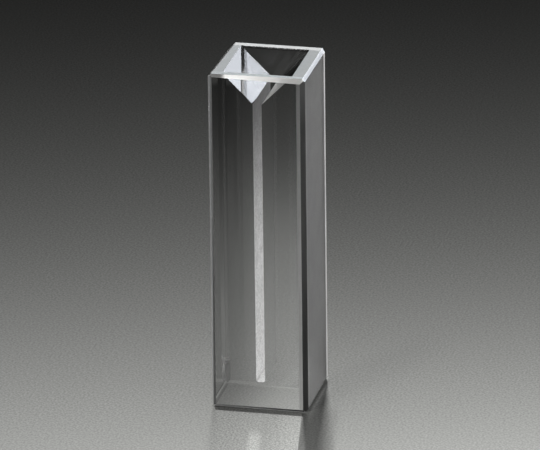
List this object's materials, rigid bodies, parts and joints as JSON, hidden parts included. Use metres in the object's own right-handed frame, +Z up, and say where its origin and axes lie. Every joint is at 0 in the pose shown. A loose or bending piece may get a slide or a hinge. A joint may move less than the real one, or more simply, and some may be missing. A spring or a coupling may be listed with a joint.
{
  "type": "cuvette",
  "caption": "Tall square glass micro cuvette: a funnel mouth leads into a narrow upright slot between polished windows, with ground sides.",
  "frame": {"origin": "centre of the base, on the surface the cell stands on", "axes": "+X across the two ground sides, +Y along the light path from the front window to the rear window, +Z up"},
  "size_m": [0.0126, 0.0126, 0.045],
  "materials": {
    "cell_glass": "clear glass, polished on the window faces and the funnel slopes, ground on the two outer sides, the slot, the rim, the base and the bevels"
  },
  "bodies": {
    "root": {"channel_block": "cell_glass", "front_window": "cell_glass", "rear_window": "cell_glass"}
  },
  "joints": []
}
